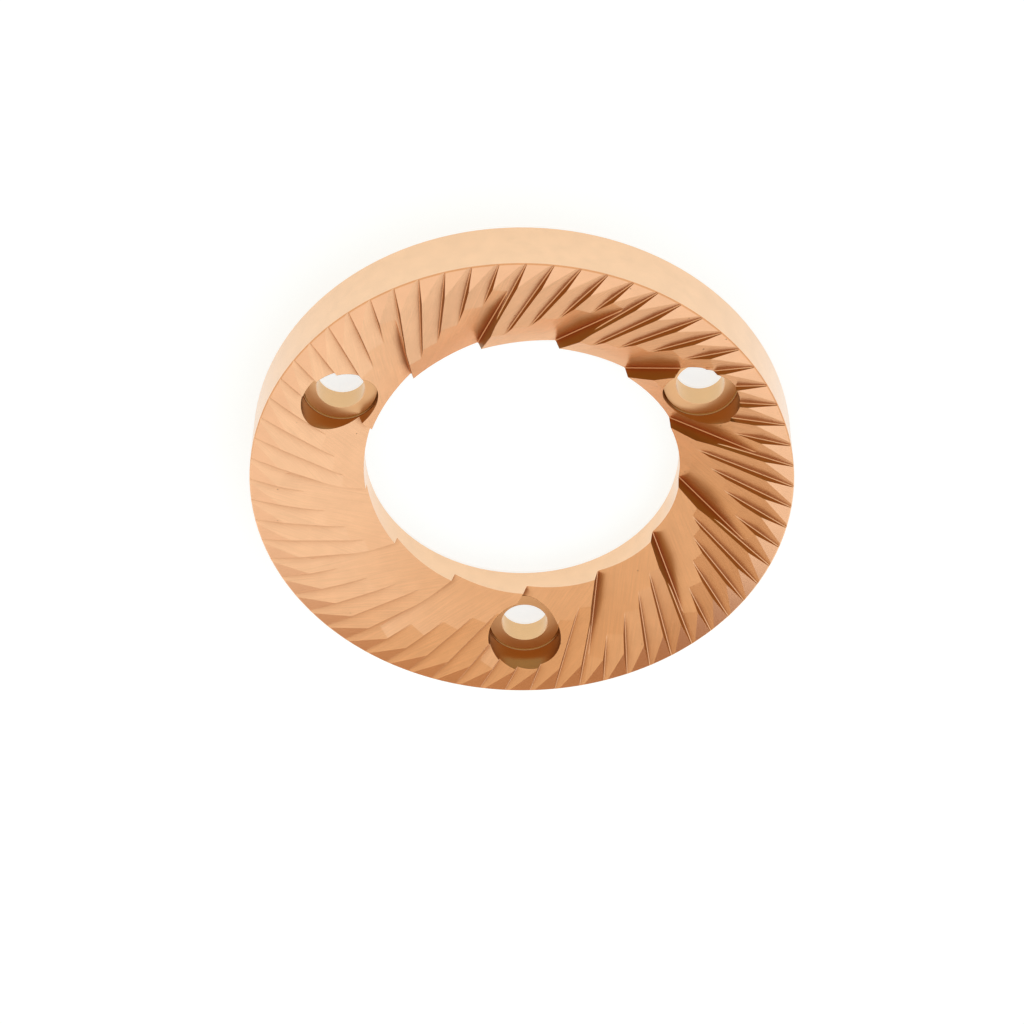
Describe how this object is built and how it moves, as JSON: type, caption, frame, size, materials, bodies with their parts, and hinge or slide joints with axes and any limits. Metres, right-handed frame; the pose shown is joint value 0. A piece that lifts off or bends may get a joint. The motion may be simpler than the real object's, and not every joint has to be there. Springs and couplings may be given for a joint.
{
  "type": "coffee grinder burr",
  "caption": "Flat grinding burr: a toothed steel ring with a satin copper-coloured coating that is screwed to a coffee grinder's burr carrier and cuts the beans.",
  "frame": {"origin": "centre of the flat back face, on the ring's axis", "axes": "+Z along the axis from the back to the toothed face; +X lies 30 degrees clockwise of the first screw hole, seen from the toothed face"},
  "size_m": [0.064, 0.064, 0.0074],
  "materials": {
    "coated_steel": "satin copper-coloured coating on hardened steel"
  },
  "bodies": {
    "root": {"burr": "coated_steel"}
  },
  "joints": []
}
